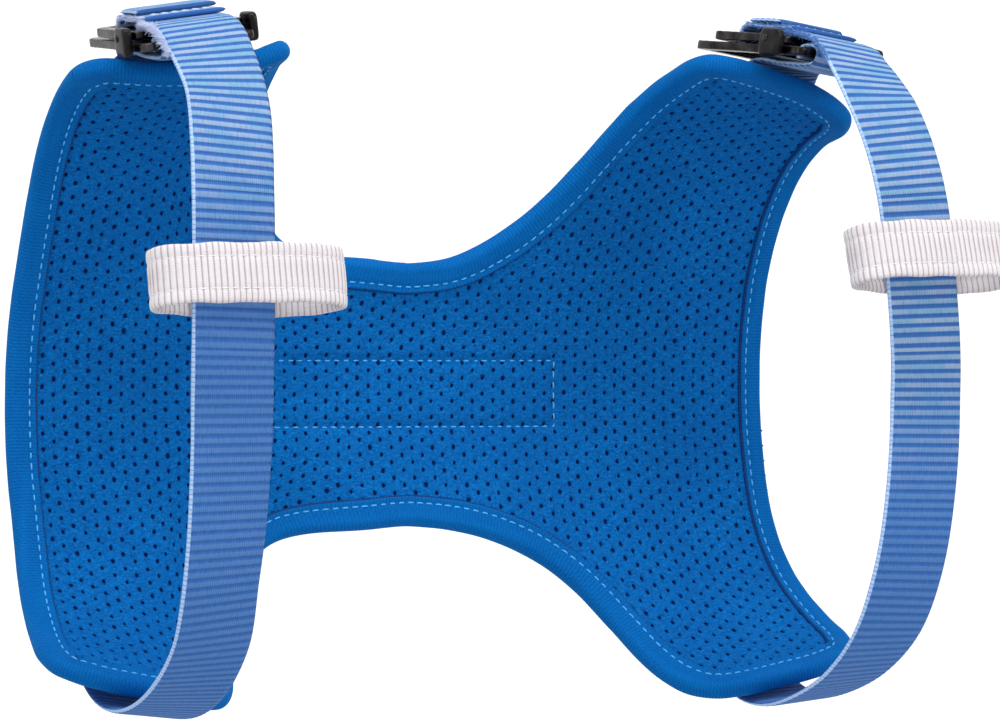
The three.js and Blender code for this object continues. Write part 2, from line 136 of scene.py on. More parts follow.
CROSSBAR_TURN = 3.6
FRONT_LOOP_START = [(0.4, 2.35), (5, 2.1), (10.5, 0.9), (16, -2.6)]
TAB_LOOP = [
    (-17, -6.5), (-4, -6.6), (7, -6.7), (11.6, -6), (13, -3.4), (11.6, -1.2), (8.4, -0.8), (5.4, -1.4),
    (4.5, -3.3), (4.1, -4.9),
]
ON_SHELL = PANEL_THICKNESS / 2 + SEAM_GAP + WEBBING_THICKNESS / 2
ON_BINDING = 6.3
ON_WEBBING = ON_SHELL + WEBBING_THICKNESS + 0.3

# ---- sizes of the fine detail, in mm ----
RIB_PITCH = 2.7
TAPE_RIB_PITCH = 1.75
STITCH_PITCH = 3.1
STITCH_LENGTH = 2.3
HOLE_ACROSS = 3.49  # half the diamond from hole to hole across the panel
HOLE_UP = 2.33  # and up it
HOLE_RADIUS = 0.6
PAINTED_SHEEN_HEIGHTS = {"left": (10, 95), "right": (-42, 24)}  # the painted sheen on the rib crests, standing in for the top light, grows between these heights


# ---- curves ----
def smoothstep(value, low, high):
    share = np.clip((value - low) / (high - low), 0, 1)
    return share * share * (3 - 2 * share)


def stack(*columns):
    return np.stack(columns, -1)


def unit(vectors):
    return vectors / np.maximum(np.linalg.norm(vectors, axis=-1, keepdims=True), 1e-9)


def lengths_along(path):
    """Distance along a path of points, from its start to each of them."""
    return np.concatenate([[0], np.cumsum(np.linalg.norm(np.diff(path, axis=0), axis=1))])


def between(path, lengths, places):
    """Points at places along a path whose own points lie at lengths."""
    return np.stack([np.interp(places, lengths, column) for column in path.T], -1)


def squarer(value, power):
    """Bends a sine or cosine, so that power 2 keeps a circle round and more makes it squarer."""
    return np.sign(value) * np.abs(value) ** (2 / power)


class Curve:
    """A smooth centripetal Catmull-Rom curve through points."""

    def __init__(self, points, divisions=200):
        inner = np.array(points, float)
        first = 2 * inner[0] - inner[1]
        last = 2 * inner[-1] - inner[-2]
        self.points = np.vstack([first, inner, last])
        self.spans = len(inner) - 1
        self.steps = np.linspace(0, 1, divisions + 1)
        self.lengths = lengths_along(self.at(self.steps))
        self.length = self.lengths[-1]

    def at(self, t):
        place = np.clip(np.asarray(t, float), 0, 1) * self.spans
        span = np.minimum(place.astype(int), self.spans - 1)
        w = (place - span)[..., None]
        p0, p1, p2, p3 = (self.points[span + k] for k in range(4))
        d0, d1, d2 = (np.linalg.norm(gap, axis=-1)[..., None] ** 0.5 for gap in (p1 - p0, p2 - p1, p3 - p2))
        t1 = ((p1 - p0) / d0 - (p2 - p0) / (d0 + d1) + (p2 - p1) / d1) * d1
        t2 = ((p2 - p1) / d1 - (p3 - p1) / (d1 + d2) + (p3 - p2) / d2) * d1
        return p1 + t1 * w + (-3 * p1 + 3 * p2 - 2 * t1 - t2) * w**2 + (2 * p1 - 2 * p2 + t1 + t2) * w**3

    def parameter(self, share):
        """The curve's own parameter at a share of its length."""
        return np.interp(np.asarray(share, float) * self.length, self.lengths, self.steps)

    def along(self, share):
        return self.at(self.parameter(share))

    def tangent(self, t):
        return unit(self.at(np.minimum(t + 1e-4, 1)) - self.at(np.maximum(t - 1e-4, 0)))


# ---- the panel's surface ----
profile = Curve([(0, -forward, up) for forward, up in PROFILE], 400)
shares = np.linspace(0, 1, 4001)
waist_length = np.interp(0, profile.along(shares)[:, 2], shares) * profile.length


def panel_middle(u, v):
    """Middle surface of the panel at (u, v) of its flat pattern."""
    u, v = np.broadcast_arrays(np.asarray(u, float), np.asarray(v, float))
    left = u < 0
    end = smoothstep(np.abs(v), 30, 115)
    flare = np.where(v > 0, FLARE_UP, FLARE_DOWN) * end
    both = zip(TOP_ENDS["left"], TOP_ENDS["right"])
    roll_up, curl_up, droop_up = (np.where(left, *pair) for pair in both)
    roll = np.where(v > 0, -roll_up, ROLL_DOWN) * end
    curl = np.where(v > 0, curl_up, 0) * end
    droop = np.where(v > 0, droop_up, 0) * smoothstep(v, 88, 118)
    at_waist = smoothstep(np.abs(u), 86, HALF_WIDTH) * (1 - smoothstep(np.abs(v), 20, 90))
    point = profile.along(np.clip((waist_length + v) / profile.length, 0, 1))
    x = u * (1 + flare) + np.sign(u) * WAIST_SPREAD * at_waist
    y = point[..., 1] + MIDDLE_Y + WAIST_BULGE * smoothstep(np.abs(u), 54, HALF_WIDTH)
    off_middle = np.maximum(np.abs(x) - ARM_MIDDLE, -1.2 * ARM_HALF)
    z = point[..., 2] + roll * off_middle + curl * (off_middle / ARM_HALF) ** 2
    z = z - droop * (np.maximum(off_middle, 0) / ARM_HALF) ** 2
    back, towards, out = (np.where(v > 0, *pair) for pair in zip(NOTCH_PULL["top"], NOTCH_PULL["bottom"]))
    share = left * smoothstep(-u, 10, 40) * (1 - smoothstep(-u, 54, 88)) * smoothstep(np.abs(v), 12, 48)
    fading = share * (1 - smoothstep(np.abs(v), 70, 108))
    x = x - out * np.where(v > 0, fading, share)
    return stack(x, y + back * fading, z - np.sign(v) * towards * fading)


def panel_normal(u, v, step=0.5):
    across = panel_middle(u + step, v) - panel_middle(u - step, v)
    along = panel_middle(u, v + step) - panel_middle(u, v - step)
    return unit(np.cross(along, across))


def panel_point(u, v, height):
    """The point that lies height above the middle surface, towards the outside."""
    return panel_middle(u, v) + panel_normal(u, v) * np.asarray(height, float)[..., None]


# ---- the flat pattern ----
def half_edge(points, count):
    return Curve([(u, v, 0) for u, v in points]).along(np.linspace(0, 1, count + 1))[:, :2]


def whole_edge(points, count):
    half = half_edge(points, count)
    mirrored = half[1:][::-1] * [-1, 1]
    return np.vstack([mirrored, half])


def closed_outline(spacing, rounding):
    """The flat pattern's outline, clockwise, as evenly spaced points with its corners rounded."""
    top = whole_edge(TOP_EDGE, 160)
    bottom = whole_edge(BOTTOM_EDGE, 160)[::-1]
    loop = np.vstack([top, bottom, top[:1]])
    lengths = lengths_along(loop)
    count = int(round(lengths[-1] / spacing))
    points = between(loop, lengths, np.arange(count) / count * lengths[-1])
    reach = int(round(rounding / spacing))
    for _ in range(2):
        points = sum(np.roll(points, k, axis=0) for k in range(-reach, reach + 1)) / (2 * reach + 1)
    return points


OUTLINE_SPACING = 0.5
outline = closed_outline(OUTLINE_SPACING, 2.4)
outline_way = unit(np.roll(outline, -1, axis=0) - np.roll(outline, 1, axis=0))
outline_in = stack(outline_way[:, 1], -outline_way[:, 0])


def edge_distance(u, v):
    """Distance from points of the flat pattern to its outline, negative outside it."""
    points = stack(np.ravel(u), np.ravel(v))
    found = np.empty(len(points))
    for start in range(0, len(points), 4000):
        some = points[start:start + 4000]
        gaps = some[:, None] - outline[None]
        squares = (gaps**2).sum(-1)
        nearest = squares.argmin(1)
        rows = np.arange(len(some))
        side = (gaps[rows, nearest] * outline_in[nearest]).sum(-1)
        found[start:start + 4000] = np.sqrt(squares[rows, nearest]) * np.sign(side)
    return found.reshape(np.shape(u))


def pressed(distance):
    """Share of full thickness at a distance from the rim."""
    return RIM_SQUEEZE + (1 - RIM_SQUEEZE) * smoothstep(distance, 0.5, BINDING_WIDTH + 3)


def groove(distance, width):
    return np.exp(-((distance / width) ** 2))


STRIP_SEAM = (52.5, 10)  # half length and half height of the strip's stitched rectangle


def strip_seam_distance(u, v):
    """Distance to the stitched rectangle of the back strip."""
    du = np.abs(u) - STRIP_SEAM[0]
    dv = np.abs(v) - STRIP_SEAM[1]
    outside = np.hypot(np.maximum(du, 0), np.maximum(dv, 0))
    inside = -np.maximum(du, dv)
    return np.where((du > 0) | (dv > 0), outside, inside)


def waves(u, v):
    """Slow, soft unevenness of padded cloth, within about 1."""
    return 0.5 * (np.sin(u / 17 + v / 29) * np.cos(v / 13 - u / 41) + np.sin(u / 9.3 - v / 11.7 + 1))


def lining_height(u, v, distance=None):
    """Height of the mesh lining's face, below the middle surface."""
    distance = edge_distance(u, v) if distance is None else distance
    full = PANEL_THICKNESS / 2 * pressed(distance)
    puff = 0.22 * waves(u, v) * smoothstep(distance, 6, 16)
    return -(full + puff - 1.0 * groove(strip_seam_distance(u, v), 1.4))


def shell_height(u, v, distance=None):
    distance = edge_distance(u, v) if distance is None else distance
    full = PANEL_THICKNESS / 2 * pressed(distance)
    puff = 0.12 * waves(v, u) * smoothstep(distance, 6, 16)
    return full + puff - 0.25 * groove(strip_seam_distance(u, v), 1.5)


# ---- making objects ----
def add_object(name, data):
    thing = bpy.data.objects.new(name, data)
    bpy.context.scene.collection.objects.link(thing)
    return thing


def attach(piece, body=HARNESS):
    """Gives a piece the body that it moves with."""
    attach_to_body(piece, body)


def make_object(name, points, faces, material, cloth=None):
    """A mesh object from points in mm. cloth gives each point's place on its own fabric, in mm."""
    mesh = bpy.data.meshes.new(name)
    mesh.from_pydata((np.asarray(points) * MM).tolist(), [], [tuple(map(int, face)) for face in faces])
    if cloth is not None:
        attribute = mesh.attributes.new("cloth", "FLOAT_VECTOR", "POINT")
        attribute.data.foreach_set("vector", np.asarray(cloth, np.float32).ravel())
    mesh.shade_smooth()
    mesh.materials.append(material)
    mesh.update()
    return add_object(name, mesh)


def grid_faces(rows, columns, offset=0, wrap_rows=False, wrap_columns=False):
    """Quads of a grid of points stored row by row."""
    row = np.arange(rows if wrap_rows else rows - 1)
    column = np.arange(columns if wrap_columns else columns - 1)
    r, c = (a.ravel() for a in np.meshgrid(row, column, indexing="ij"))
    r2, c2 = (r + 1) % rows, (c + 1) % columns
    return offset + stack(r * columns + c, r * columns + c2, r2 * columns + c2, r2 * columns + c)


def outward(piece):
    """Turns a closed piece's faces outwards."""
    bm = bmesh.new()
    bm.from_mesh(piece.data)
    bmesh.ops.recalc_face_normals(bm, faces=bm.faces)
    bm.to_mesh(piece.data)
    bm.free()
    return piece


# ---- materials ----
def linear(red, green, blue):
    """A colour given as 0 to 255 per channel, as the shaders take it."""
    values = [c / 255 for c in (red, green, blue)]
    return tuple(c / 12.92 if c <= 0.04045 else ((c + 0.055) / 1.055) ** 2.4 for c in values) + (1,)


class Paint:
    """A procedural material, put together from nodes."""

    def __init__(self, name, roughness=0.7, metallic=0, sheen=0, specular=0.5):
        self.material = bpy.data.materials.new(name)
        self.material.use_nodes = True
        self.tree = self.material.node_tree
        self.shader = self.tree.nodes["Principled BSDF"]
        self.adjust({"Roughness": roughness, "Metallic": metallic, "Specular IOR Level": specular})
        self.adjust({"Sheen Weight": sheen, "Sheen Roughness": 0.4})

    def adjust(self, values):
        for socket, value in values.items():
            self.shader.inputs[socket].default_value = value

    def put(self, socket, value):
        if isinstance(value, bpy.types.NodeSocket):
            self.tree.links.new(value, socket)
        elif value is not None:
            socket.default_value = value

    def add(self, kind, inputs=(), **settings):
        node = self.tree.nodes.new("ShaderNode" + kind)
        for key, value in settings.items():
            setattr(node, key, value)
        for key, value in dict(inputs).items():
            self.put(node.inputs[key], value)
        return node

    def maths(self, operation, first, second=None, third=None):
        node = self.add("Math", {0: first, 1: second, 2: third}, operation=operation)
        return node.outputs[0]

    def cloth(self):
        """Place on the fabric in mm, along it and across it, and a third value, which is the webbing's
        share of painted sheen, the depth of the lining's holes, and nought on the other fabrics.
        """
        place = self.add("Attribute", attribute_name="cloth")
        parts = self.add("SeparateXYZ", {0: place.outputs["Vector"]})
        return place.outputs["Vector"], parts.outputs[0], parts.outputs[1], parts.outputs[2]

    def scaled(self, vector, scale):
        return self.add("VectorMath", {0: vector, 1: scale}, operation="MULTIPLY").outputs[0]

    def noise(self, vector, scale=(1, 1, 1), detail=2, rough=0.5, distortion=0):
        inputs = {"Vector": self.scaled(vector, scale), "Scale": 1, "Detail": detail}
        inputs.update({"Roughness": rough, "Distortion": distortion})
        return self.add("TexNoise", inputs).outputs["Fac"]

    def ramp(self, value, low, high, to_low=0, to_high=1):
        inputs = {"Value": value, "From Min": low, "From Max": high, "To Min": to_low, "To Max": to_high}
        return self.add("MapRange", inputs, interpolation_type="SMOOTHSTEP").outputs["Result"]

    def mix(self, share, first, second):
        node = self.add("Mix", data_type="RGBA")
        for socket, value in zip((node.inputs[0], node.inputs[6], node.inputs[7]), (share, first, second)):
            self.put(socket, value)
        return node.outputs[2]

    def wave(self, value, pitch):
        """From 0 to 1 and back over each pitch: 0 in the grooves."""
        turned = self.maths("MULTIPLY", value, math.pi / pitch)
        return self.maths("ABSOLUTE", self.maths("SINE", turned))

    def bump(self, height, depth_mm, strength=1.0):
        inputs = {"Height": height, "Distance": depth_mm * MM, "Strength": strength}
        before = self.shader.inputs["Normal"]
        if before.is_linked:
            inputs["Normal"] = before.links[0].from_socket
        self.put(before, self.add("Bump", inputs).outputs[0])

    def finish(self, colour, roughness=None):
        self.put(self.shader.inputs["Base Color"], colour)
        self.put(self.shader.inputs["Roughness"], roughness)
        return self.material


def webbing_material():
    """Ribbed woven webbing: a pale streaky weft on each rib with a painted sheen over it that grows with
    height, painted shade in the grooves, and a pale chain along one edge.
    """
    paint = Paint("blue_webbing", roughness=0.65, specular=0.2)
    # sheen is the share of painted sheen on the rib crests, set from each point's height
    place, along, across, sheen = paint.cloth()
    rib = paint.wave(along, RIB_PITCH)
    threads = paint.wave(across, 0.6)
    yarn = paint.noise(place, (0.35, 2.4, 1), detail=3)
    tint = paint.noise(place, (0.16, 0.09, 1), detail=1)
    fleck = paint.noise(place, (2.6, 2.6, 1), detail=2)
    base = paint.mix(paint.ramp(yarn, 0.35, 0.7), linear(42, 92, 162), linear(54, 106, 175))
    soft = paint.mix(paint.ramp(fleck, 0.4, 0.7), linear(58, 108, 178), linear(70, 121, 188))
    # painted sheen: paler crests where the top light catches the ribs
    painted_sheen_colour = paint.mix(paint.ramp(tint, 0.35, 0.65), linear(121, 163, 193), linear(149, 169, 197))
    light = paint.mix(sheen, soft, painted_sheen_colour)
    # the crests take the pale weft, and higher up the painted sheen as well
    crest = paint.maths("MULTIPLY", paint.ramp(rib, 0.5, 0.86), paint.ramp(yarn, 0.15, 0.6, 0.6, 1))
    crest = paint.maths("MULTIPLY", crest, paint.ramp(threads, 0, 0.5, 0.72, 1))
    colour = paint.mix(crest, base, light)
    # painted shade in the grooves between the ribs
    colour = paint.mix(paint.ramp(rib, 0.0, 0.3, 0.4, 0), colour, linear(40, 84, 150))
    edge = paint.ramp(paint.maths("MULTIPLY", across, -1), WEBBING_WIDTH / 2 - 1.0, WEBBING_WIDTH / 2 - 0.6)
    chain = paint.ramp(paint.wave(along, RIB_PITCH / 2), 0.1, 0.6, 0.45, 1)
    colour = paint.mix(paint.maths("MULTIPLY", edge, chain), colour, linear(168, 198, 240))
    far = paint.ramp(across, WEBBING_WIDTH / 2 - 0.9, WEBBING_WIDTH / 2 - 0.5)
    dots = paint.maths("MULTIPLY", far, paint.ramp(rib, 0.35, 0.15))
    colour = paint.mix(dots, colour, linear(30, 66, 124))
    paint.bump(paint.maths("MULTIPLY", threads, paint.ramp(rib, 0.2, 0.7)), 0.12, 0.7)
    paint.bump(fleck, 0.12, 0.6)
    return paint.finish(colour)


def lining_material():
    """Blue spacer mesh: short knitted strokes between its holes."""
    paint = Paint("lining_mesh", roughness=0.85, specular=0.06)
    place, _, _, depth = paint.cloth()
    strokes = paint.noise(place, (0.95, 1.5, 1), detail=3, rough=0.65, distortion=1.4)
    slow = paint.noise(place, (0.03, 0.03, 1), detail=1)
    dark, blue, light = linear(3, 68, 138), linear(6, 104, 182), linear(12, 136, 218)
    colour = paint.mix(paint.ramp(strokes, 0.32, 0.5), dark, blue)
    colour = paint.mix(paint.ramp(strokes, 0.5, 0.72, 0, 0.9), colour, light)
    colour = paint.mix(paint.ramp(slow, 0.3, 0.7, 0, 0.25), colour, linear(5, 80, 154))
    colour = paint.mix(paint.ramp(depth, 0.1, 0.6), colour, linear(10, 40, 100))
    paint.bump(strokes, 0.6, 1.0)
    return paint.finish(colour)


def binding_material():
    """Folded knit tape with fine ribs across it and a faint diagonal."""
    paint = Paint("binding_knit", roughness=0.75, specular=0.04, sheen=0.35)
    paint.adjust({"Sheen Tint": linear(70, 170, 235), "Sheen Roughness": 0.25})
    place, along, across, _ = paint.cloth()
    fine = paint.wave(along, 1.0)
    slant = paint.wave(paint.maths("ADD", along, paint.maths("MULTIPLY", across, 0.8)), 1.7)
    grain = paint.noise(place, (1.3, 1.8, 1), detail=3, rough=0.6)
    patch = paint.noise(place, (0.05, 0.25, 1), detail=2)
    blue, light, deep = linear(2, 85, 158), linear(9, 110, 184), linear(2, 68, 138)
    colour = paint.mix(paint.ramp(fine, 0.1, 0.9, 0, 0.4), blue, light)
    colour = paint.mix(paint.ramp(slant, 0.0, 0.4, 0.45, 0), colour, deep)
    colour = paint.mix(paint.ramp(grain, 0.5, 0.75, 0, 0.5), colour, light)
    colour = paint.mix(paint.ramp(grain, 0.5, 0.3, 0, 0.5), colour, deep)
    colour = paint.mix(paint.ramp(patch, 0.35, 0.7, 0, 0.25), colour, light)
    paint.bump(fine, 0.12, 1.0)
    paint.bump(grain, 0.15, 0.7)
    return paint.finish(colour)


def shell_material():
    """Close plain weave of the panel's outer face."""
    paint = Paint("shell_weave", roughness=0.8, specular=0.12)
    place, along, across, _ = paint.cloth()
    weft = paint.wave(along, 0.9)
    warp = paint.wave(across, 0.9)
    both = paint.maths("MAXIMUM", weft, warp)
    patch = paint.noise(place, (0.05, 0.05, 1), detail=3)
    colour = paint.mix(paint.ramp(both, 0.6, 1.0), linear(6, 74, 142), linear(10, 100, 174))
    colour = paint.mix(paint.ramp(patch, 0.35, 0.7, 0, 0.25), colour, linear(16, 112, 186))
    paint.bump(both, 0.12, 0.8)
    return paint.finish(colour)


def tape_material():
    """White ribbed tape, painted a warm grey shade in its grooves."""
    paint = Paint("ring_tape", roughness=0.8, specular=0.15)
    place, along, across, _ = paint.cloth()
    rib = paint.wave(along, TAPE_RIB_PITCH)
    fibre = paint.noise(place, (1.2, 3.5, 1), detail=2)
    # painted shade: warm grey in the grooves between the ribs, white on the ribs
    colour = paint.mix(paint.ramp(rib, 0.05, 0.65), linear(164, 149, 156), linear(212, 208, 211))
    colour = paint.mix(paint.ramp(fibre, 0.45, 0.75, 0, 0.25), colour, linear(206, 196, 203))
    paint.bump(fibre, 0.15, 0.6)
    paint.bump(paint.wave(across, 0.7), 0.06, 0.6)
    return paint.finish(colour)


def thread_material(name, colour):
    """Twisted sewing thread, painted darker as shade in the grooves between its plies."""
    paint = Paint(name, roughness=0.5, specular=0.2)
    _, along, across, _ = paint.cloth()
    twist = paint.wave(paint.maths("ADD", along, across), 0.5)
    # painted shade: the thread 40% darker in the twist's grooves
    ply_groove_shade = tuple(0.6 * c for c in colour[:3]) + (1,)
    paint.bump(twist, 0.05, 0.7)
    return paint.finish(paint.mix(paint.ramp(twist, 0.0, 0.6), ply_groove_shade, colour))


def foam_material():
    """Closed-cell foam with fine pores."""
    paint = Paint("foam_core", roughness=0.95, specular=0.1)
    place, _, _, _ = paint.cloth()
    pores = paint.noise(place, (2, 2, 2), detail=3)
    return paint.finish(paint.mix(paint.ramp(pores, 0.35, 0.65), linear(8, 34, 92), linear(14, 52, 120)))


def steel_material():
    """Blackened steel, rubbed a little brighter in streaks."""
    paint = Paint("blackened_steel", roughness=0.25, metallic=1.0, specular=0.5)
    where = paint.add("TexCoord").outputs["Object"]
    streaks = paint.noise(where, (900, 260, 900), detail=3)
    clouds = paint.noise(where, (160, 160, 160), detail=2)
    colour = paint.mix(paint.ramp(clouds, 0.35, 0.7), linear(38, 36, 37), linear(76, 72, 71))
    paint.bump(streaks, 0.015, 0.4)
    return paint.finish(colour, paint.ramp(streaks, 0.3, 0.7, 0.14, 0.3))


def black_material():
    """Black coated metal."""
    paint = Paint("black_coating", roughness=0.25, specular=0.15)
    where = paint.add("TexCoord").outputs["Object"]
    clouds = paint.noise(where, (300, 300, 300), detail=3)
    paint.bump(clouds, 0.02, 0.4)
    return paint.finish(paint.mix(paint.ramp(clouds, 0.35, 0.7), linear(14, 12, 14), linear(32, 29, 30)))


WEBBING = webbing_material()
LINING = lining_material()
BINDING = binding_material()
SHELL = shell_material()
TAPE = tape_material()
FOAM = foam_material()
STEEL = steel_material()
BLACK = black_material()
BLUE_THREAD = thread_material("blue_thread", linear(84, 180, 242))
# dark navy for the hem cord: the hem's own thread, painted as the shade line along the binding's hem
HEM_SHADE_BLUE = thread_material("hem_shade_blue", linear(6, 50, 112))
PALE_THREAD = thread_material("pale_thread", linear(196, 214, 240))
WHITE_THREAD = thread_material("white_thread", linear(236, 232, 236))
# fibre colours, lighter than the webbing: painted highlight where light catches the loose fibres, far paler
# at the left buckle than at the right
FUZZ = {
    "left": thread_material("fuzz_painted_highlight", linear(196, 208, 240)),
    "right": thread_material("blue_fuzz", linear(98, 144, 208)),
}


# ---- thread ----
THREAD_SIDES = 6


def tube(path, radii, sides=THREAD_SIDES):
    """Points and quads of a tube along a path, closed at both ends by faces."""
    way = unit(np.gradient(path, axis=0))
    helper = np.array([0.31, 0.17, 0.93])
    side = unit(np.cross(way, helper))
    other = np.cross(way, side)
    angles = np.arange(sides) / sides * 2 * math.pi
    ring = side[:, None] * np.cos(angles)[None, :, None] + other[:, None] * np.sin(angles)[None, :, None]
    points = path[:, None] + ring * np.asarray(radii)[:, None, None]
    faces = grid_faces(len(path), sides, wrap_columns=True).tolist()
    last = (len(path) - 1) * sides
    return points.reshape(-1, 3), faces, [list(range(sides))[::-1], list(range(last, last + sides))]


def stitches(name, path, normals, material, radius=0.26):
    """A row of stitches along a path on a surface: each one rises out of the cloth and dives back in."""
    lengths = lengths_along(path)
    points, faces, cloth = [], [], []
    share = np.linspace(0, 1, 6)
    arch = np.sin(share * math.pi) ** 0.6
    for start in np.arange(STITCH_PITCH / 2, lengths[-1] - STITCH_LENGTH, STITCH_PITCH):
        places = start + share * STITCH_LENGTH
        normal = unit(between(normals, lengths, places))
        middle = between(path, lengths, places) + normal * (radius * (1.5 * arch - 1.2))[:, None]
        some, quads, ends = tube(middle, radius * (0.55 + 0.45 * arch))
        first = len(points) * len(some)
        points.append(some)
        faces += [[first + corner for corner in face] for face in quads + ends]
        around = np.tile(np.arange(THREAD_SIDES) * 0.2, len(share))
        cloth.append(stack(np.repeat(places, THREAD_SIDES), around, 0 * around))
    return make_object(name, np.vstack(points), faces, material, np.vstack(cloth))


def on_panel(flat, height):
    """Path and normals along points of the flat pattern, at a height above the middle surface."""
    flat = np.asarray(flat, float)
    return panel_point(flat[:, 0], flat[:, 1], height), panel_normal(flat[:, 0], flat[:, 1])


# ---- the panel's layers ----
def panel_grid(inset, columns, rows):
    """Places on the flat pattern, in rows from its bottom edge to its top edge."""
    top = whole_edge(TOP_EDGE, columns // 2)
    bottom = whole_edge(BOTTOM_EDGE, columns // 2)

    def inwards(edge, side):
        way = unit(np.gradient(edge, axis=0))
        return edge + inset * side * stack(way[:, 1], -way[:, 0])

    top, bottom = inwards(top, 1), inwards(bottom, -1)
    top[[0, -1], 0] *= 1 - inset / HALF_WIDTH
    bottom[[0, -1], 0] *= 1 - inset / HALF_WIDTH
    share = smoothstep(np.linspace(0, 1, rows + 1), -0.35, 1.35)
    share = ((share - share[0]) / (share[-1] - share[0]))[:, None, None]
    places = bottom[None] * (1 - share) + top[None] * share
    return places[..., 0], places[..., 1]


def make_foam():
    """The closed foam core between the lining and the shell, thinner towards its rim."""
    u, v = panel_grid(BINDING_THICKNESS + 1.0, 120, 60)
    distance = edge_distance(u, v)
    inner = panel_point(u, v, lining_height(u, v, distance) + SKIN + 0.05)
    outer = panel_point(u, v, shell_height(u, v, distance) - SKIN - 0.05)
    rows, columns = u.shape
    count = rows * columns
    faces = np.vstack([grid_faces(rows, columns), grid_faces(rows, columns, count)]).tolist()
    rim = [*range(columns), *range(2 * columns - 1, count, columns)]
    rim += [*range(count - 2, count - columns - 1, -1), *range(count - 2 * columns, 0, -columns)]
    for here, there in zip(rim, rim[1:] + rim[:1]):
        faces.append([here, there, there + count, here + count])
    points = np.vstack([inner.reshape(-1, 3), outer.reshape(-1, 3)])
    flat = stack(u.ravel(), v.ravel(), 0 * u.ravel())
    piece = outward(make_object("foam_core", points, faces, FOAM, np.vstack([flat, flat])))
    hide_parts("foam_pad")
    attach(piece)


def stretch_cloth(piece, node):
    """Hides the CAD layer that a cloth piece replaces and gives the piece the body that it moves with."""
    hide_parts(node)
    attach(piece)


def make_shell():
    u, v = panel_grid(BINDING_THICKNESS + 0.6, 160, 100)
    height = shell_height(u, v)
    points = panel_point(u, v, height).reshape(-1, 3)
    flat = stack(u.ravel(), v.ravel(), 0 * u.ravel())
    piece = make_object("shell_cloth", points, grid_faces(*u.shape)[:, ::-1], SHELL, flat)
    thicken = piece.modifiers.new("thickness", "SOLIDIFY")
    thicken.thickness = SKIN * MM * 0.9
    thicken.offset = -1
    stretch_cloth(piece, "outer_shell")


def make_lining():
    """The perforated lining: one diamond of cloth round every hole."""
    across = int(HALF_WIDTH / HOLE_ACROSS) + 2
    up = int(128 / HOLE_UP) + 2
    i, j = (a.ravel() for a in np.meshgrid(np.arange(-across, across + 1), np.arange(-up, up + 1)))
    even = (i + j) % 2 == 0
    i, j = i[even], j[even]
    inside = edge_distance(i * HOLE_ACROSS, j * HOLE_UP) > BINDING_WIDTH - 4.6
    i, j = i[inside], j[inside]
    around = np.array([(2, 0), (1, 1), (0, 2), (-1, 1), (-2, 0), (-1, -1), (0, -2), (1, -1)])
    keys = stack(2 * i, 2 * j)[:, None] + around[None]
    shared, index = np.unique(keys.reshape(-1, 2), axis=0, return_inverse=True)
    index = index.reshape(len(i), 8)
    corners = shared * [HOLE_ACROSS / 2, HOLE_UP / 2]
    angles = np.array([0, 42, 90, 138, 180, 222, 270, 318]) * math.pi / 180
    ring = stack(np.cos(angles), np.sin(angles))
    centres = stack(i * HOLE_ACROSS, j * HOLE_UP)
    rng = np.random.default_rng(7)
    radius = HOLE_RADIUS * rng.uniform(0.85, 1.2, len(i))
    stretch = stack(rng.uniform(0.85, 1.05, len(i)), rng.uniform(1.1, 1.35, len(i)))
    shallow = rng.uniform(0.55, 1.0, len(i))
    centres = centres + rng.normal(0, 0.12, centres.shape)
    flats, depths, heights = [corners], [np.zeros(len(corners))], [np.full(len(corners), 0.1)]
    for scale, depth, lift in ((2.1, 0, 0.14), (1.3, 0.05, 0.0), (0.95, 0.35, -0.3), (0.85, 1, -0.7)):
        flat = centres[:, None] + ring[None] * (radius * scale)[:, None, None] * stretch[:, None]
        flats.append(flat.reshape(-1, 2))
        depths.append(np.repeat(depth * shallow, 8))
        heights.append(np.full(len(i) * 8, lift))
    faces = []
    first = len(corners)
    layer = first + np.arange(len(i) * 8).reshape(len(i), 8)
    rings = [index] + [layer + k * len(i) * 8 for k in range(4)]
    for outer, inner in zip(rings, rings[1:]):
        for k in range(8):
            following = (k + 1) % 8
            faces.append(stack(outer[:, k], inner[:, k], inner[:, following], outer[:, following]))
    flat = np.vstack(flats)
    depth = np.concatenate(depths)
    height = lining_height(flat[:, 0], flat[:, 1]) - np.concatenate(heights)
    cloth = stack(flat[:, 0], flat[:, 1], depth)
    points = panel_point(flat[:, 0], flat[:, 1], height)
    piece = make_object("lining_cloth", points, np.vstack(faces), LINING, cloth)
    stretch_cloth(piece, "mesh_lining")


BINDING_SEAM = 6.2  # the stitch row's distance from the rim
FOLD_REACH = 2.0  # how far in from the rim the fold is round
HEM_RADIUS = 0.42


def binding_height(inset):
    """Height of the tape's outer face above the middle surface at an inset from the rim."""
    cloth = PANEL_THICKNESS / 2 * pressed(inset) + 0.25
    fold = math.sqrt(1 - (1 - min(inset / FOLD_REACH, 1)) ** 2)
    pinch = 0.38 * groove(inset - BINDING_SEAM, 0.8)
    return fold * (cloth + BINDING_THICKNESS) - pinch


def binding_section():
    """The folded tape's closed cross-section as (inset, height), and the count of its outer points."""
    insets = np.concatenate([np.linspace(BINDING_WIDTH, 2.2, 12), [1.7, 1.2, 0.75, 0.4, 0.15, 0.02]])
    outer = [(inset, binding_height(inset)) for inset in insets]
    face = outer + [(inset, -height) for inset, height in reversed(outer)]
    inner = []
    for inset, height in reversed(face):
        thickness = min(BINDING_THICKNESS * 0.85, abs(height) * 0.6)
        inside = min(inset + BINDING_THICKNESS * 0.9, BINDING_WIDTH)
        inner.append((inside, height * 0.999 - np.sign(height) * thickness))
    return np.array(face + inner), len(face)


